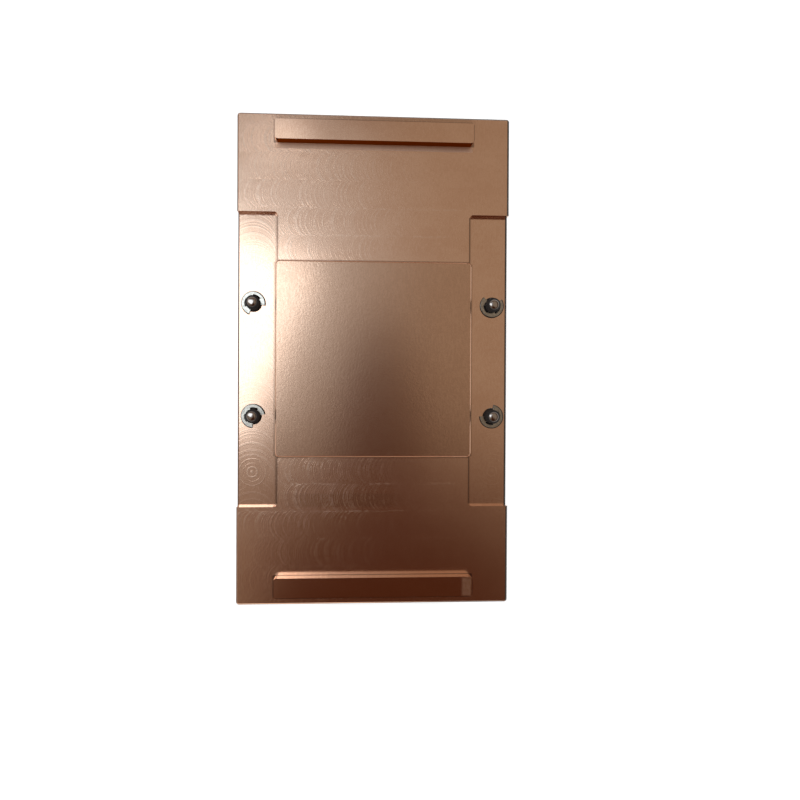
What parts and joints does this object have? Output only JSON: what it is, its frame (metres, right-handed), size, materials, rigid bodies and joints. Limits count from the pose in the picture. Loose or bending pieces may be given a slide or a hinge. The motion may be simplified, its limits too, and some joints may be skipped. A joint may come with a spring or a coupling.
{
  "type": "gpu heat sink",
  "caption": "Heat sink for a mezzanine graphics module: milled copper base with a raised chip pad, end bars and side ledges, folded aluminium fins and captive spring screws.",
  "frame": {"origin": "on the plane of the fin tips, under the middle of the base", "axes": "+Z out of the chip side, +Y along the base and the fins, +X across the base"},
  "size_m": [0.078, 0.14, 0.0552],
  "materials": {
    "copper": "milled bare copper with tool marks",
    "fin_aluminium": "plain rolled sheet",
    "screw_steel": "dark nickel plating",
    "clip_steel": "stamped spring steel",
    "spring_steel": "drawn stainless wire"
  },
  "bodies": {
    "heat_sink": {"base_plate": "copper", "fin_01": "fin_aluminium", "fin_02": "fin_aluminium", "fin_03": "fin_aluminium", "fin_04": "fin_aluminium", "fin_05": "fin_aluminium", "fin_06": "fin_aluminium", "fin_07": "fin_aluminium", "fin_08": "fin_aluminium", "fin_09": "fin_aluminium", "fin_10": "fin_aluminium", "fin_11": "fin_aluminium", "fin_12": "fin_aluminium", "fin_13": "fin_aluminium", "fin_14": "fin_aluminium", "fin_15": "fin_aluminium", "fin_16": "fin_aluminium", "fin_17": "fin_aluminium", "fin_18": "fin_aluminium", "fin_19": "fin_aluminium", "fin_20": "fin_aluminium", "fin_21": "fin_aluminium", "fin_22": "fin_aluminium", "fin_23": "fin_aluminium", "fin_24": "fin_aluminium", "fin_25": "fin_aluminium", "fin_26": "fin_aluminium", "fin_27": "fin_aluminium", "fin_28": "fin_aluminium", "fin_29": "fin_aluminium", "fin_30": "fin_aluminium", "front_left_short_fin_1": "fin_aluminium", "front_left_short_fin_2": "fin_aluminium", "front_left_short_fin_3": "fin_aluminium", "front_left_short_fin_4": "fin_aluminium", "front_right_short_fin_1": "fin_aluminium", "front_right_short_fin_2": "fin_aluminium", "front_right_short_fin_3": "fin_aluminium", "front_right_short_fin_4": "fin_aluminium", "rear_left_short_fin_1": "fin_aluminium", "rear_left_short_fin_2": "fin_aluminium", "rear_left_short_fin_3": "fin_aluminium", "rear_left_short_fin_4": "fin_aluminium", "rear_right_short_fin_1": "fin_aluminium", "rear_right_short_fin_2": "fin_aluminium", "rear_right_short_fin_3": "fin_aluminium", "rear_right_short_fin_4": "fin_aluminium", "rear_left_spring": "spring_steel", "rear_right_spring": "spring_steel", "front_left_spring": "spring_steel", "front_right_spring": "spring_steel"},
    "rear_left_clip": {"rear_left_retaining_clip": "clip_steel"},
    "rear_left_screw": {"rear_left_captive_screw": "screw_steel"},
    "rear_right_clip": {"rear_right_retaining_clip": "clip_steel"},
    "rear_right_screw": {"rear_right_captive_screw": "screw_steel"},
    "front_left_clip": {"front_left_retaining_clip": "clip_steel"},
    "front_left_screw": {"front_left_captive_screw": "screw_steel"},
    "front_right_clip": {"front_right_retaining_clip": "clip_steel"},
    "front_right_screw": {"front_right_captive_screw": "screw_steel"}
  },
  "joints": [
    {"name": "rear_left_screw_press", "type": "slide", "parent": "heat_sink", "child": "rear_left_clip", "axis": [0, 0, 1], "range_m": [0, 0.004], "stiffness_N_per_m": 4000, "deforming": ["rear_left_spring"]},
    {"name": "rear_left_screw_spin", "type": "hinge", "parent": "rear_left_clip", "child": "rear_left_screw", "pos_m": [-0.0346, 0.0162, 0.0482], "axis": [0, 0, 1], "continuous": true},
    {"name": "rear_right_screw_press", "type": "slide", "parent": "heat_sink", "child": "rear_right_clip", "axis": [0, 0, 1], "range_m": [0, 0.004], "stiffness_N_per_m": 4000, "deforming": ["rear_right_spring"]},
    {"name": "rear_right_screw_spin", "type": "hinge", "parent": "rear_right_clip", "child": "rear_right_screw", "pos_m": [0.0346, 0.0162, 0.0482], "axis": [0, 0, 1], "continuous": true},
    {"name": "front_left_screw_press", "type": "slide", "parent": "heat_sink", "child": "front_left_clip", "axis": [0, 0, 1], "range_m": [0, 0.004], "stiffness_N_per_m": 4000, "deforming": ["front_left_spring"]},
    {"name": "front_left_screw_spin", "type": "hinge", "parent": "front_left_clip", "child": "front_left_screw", "pos_m": [-0.0346, -0.0162, 0.0482], "axis": [0, 0, 1], "continuous": true},
    {"name": "front_right_screw_press", "type": "slide", "parent": "heat_sink", "child": "front_right_clip", "axis": [0, 0, 1], "range_m": [0, 0.004], "stiffness_N_per_m": 4000, "deforming": ["front_right_spring"]},
    {"name": "front_right_screw_spin", "type": "hinge", "parent": "front_right_clip", "child": "front_right_screw", "pos_m": [0.0346, -0.0162, 0.0482], "axis": [0, 0, 1], "continuous": true}
  ]
}
